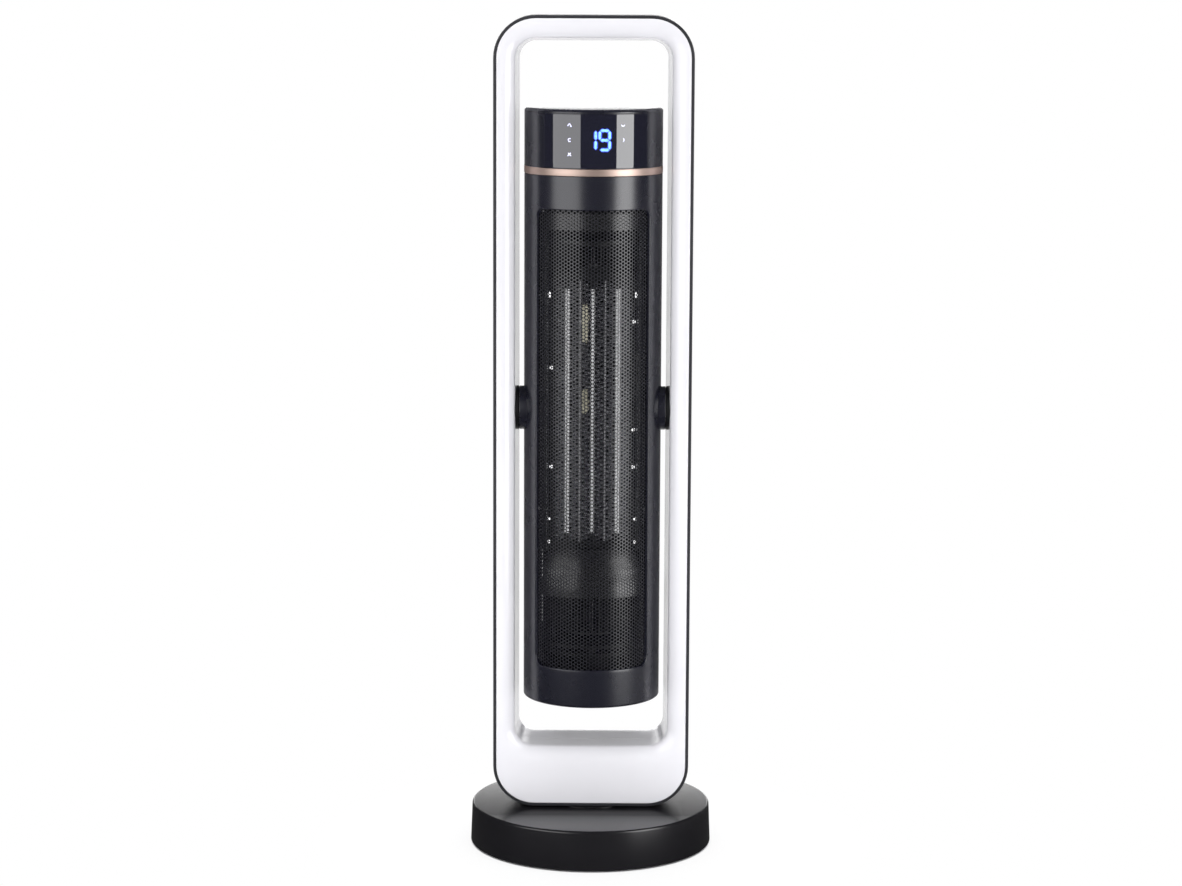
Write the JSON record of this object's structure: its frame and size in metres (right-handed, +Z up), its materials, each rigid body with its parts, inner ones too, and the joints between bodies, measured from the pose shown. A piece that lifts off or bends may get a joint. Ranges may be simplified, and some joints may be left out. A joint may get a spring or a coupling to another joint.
{
  "type": "ceramic tower heater",
  "caption": "Ceramic tower heater: a black heating cylinder with a touch display tilts inside a white rounded frame that swivels on a round black base.",
  "frame": {"origin": "on the floor, under the centre of the base", "axes": "+Z up, -Y towards the side that the warm air leaves, +X to the right seen from the front"},
  "size_m": [0.24, 0.24, 0.822],
  "materials": {
    "base_black": "satin black moulded plastic",
    "inner_black": "black moulded plastic",
    "rubber": "matt rubber",
    "steel": "zinc-plated steel",
    "acetal": "natural acetal",
    "panel_black": "polished black plastic",
    "band_graphite": "satin graphite moulded plastic",
    "gloss_white": "polished white plastic",
    "cast_aluminium": "plain aluminium",
    "shell_black": "satin blue-black moulded plastic",
    "mesh_black": "black painted perforated steel",
    "filter_mesh": "woven nylon filter cloth",
    "rose_gold": "anodised rose gold",
    "board_green": "solder mask",
    "duct_black": "heat-proof black paint",
    "fin_aluminium": "thin corrugated aluminium",
    "impeller_black": "glass-filled plastic"
  },
  "bodies": {
    "base": {"base_cover": "base_black", "base_plate": "inner_black", "rubber_feet": "rubber", "base_screws": "steel", "ballast_plate": "steel", "swivel_bearing": "base_black", "oscillation_motor": "steel", "motor_screws": "steel", "tipover_switch": "inner_black", "cord_inlet": "rubber", "switch_housing": "inner_black"},
    "pinion": {"osc_pinion": "acetal"},
    "rocker": {"switch_rocker": "panel_black"},
    "frame": {"outer_band": "band_graphite", "front_liner": "gloss_white", "rear_liner": "gloss_white", "frame_screws": "steel", "swivel_neck": "base_black", "neck_screws": "steel", "sector_gear": "acetal", "neck_nut": "steel", "pivot_sockets": "inner_black", "pivot_brackets": "steel", "bracket_screws": "steel", "pivot_pins": "steel"},
    "head": {"front_shell": "shell_black", "rear_shell": "shell_black", "shell_screws": "steel", "front_grille": "mesh_black", "rear_grille": "inner_black", "dust_filter": "filter_mesh", "bottom_cap": "inner_black", "top_cap": "shell_black", "trim_ring": "rose_gold", "control_housing": "shell_black", "control_panel": "panel_black", "display_board": "board_green", "led_digits": "panel_black", "power_board": "board_green", "power_board_parts": "inner_black", "heater_duct": "duct_black", "ptc_tubes": "cast_aluminium", "ptc_separators": "cast_aluminium", "ptc_fins": "fin_aluminium", "ptc_rails": "inner_black", "ptc_end_brackets": "inner_black", "rail_screws": "steel", "thermal_cutout": "inner_black", "scroll_housing": "inner_black", "fan_motor": "steel", "motor_mount": "inner_black", "top_bearing": "inner_black", "pivot_hubs": "shell_black", "pivot_bushes": "acetal", "friction_washers": "acetal"},
    "blower": {"fan_shaft": "steel", "impeller": "impeller_black"}
  },
  "joints": [
    {"name": "swivel", "type": "hinge", "parent": "base", "child": "frame", "pos_m": [0, 0, 0.0405], "axis": [0, 0, 1], "range_deg": [-35, 35]},
    {"name": "pinion_spin", "type": "hinge", "parent": "base", "child": "pinion", "pos_m": [0.0555, 0, 0.025], "axis": [0, 0, 1], "range_deg": [-155, 155]},
    {"name": "tilt", "type": "hinge", "parent": "frame", "child": "head", "pos_m": [0, 0, 0.4385], "axis": [-1, 0, 0], "range_deg": [-15, 30]},
    {"name": "blower_spin", "type": "hinge", "parent": "head", "child": "blower", "pos_m": [0, 0.014, 0.4], "axis": [0, 0, 1], "continuous": true},
    {"name": "rocker_press", "type": "hinge", "parent": "base", "child": "rocker", "pos_m": [0.018, 0.111, 0.0215], "axis": [-1, 0, 0], "range_deg": [0, 14]}
  ],
  "couplings": [
    {"joint": "pinion_spin", "follows": "swivel", "ratio": -4.2857}
  ]
}
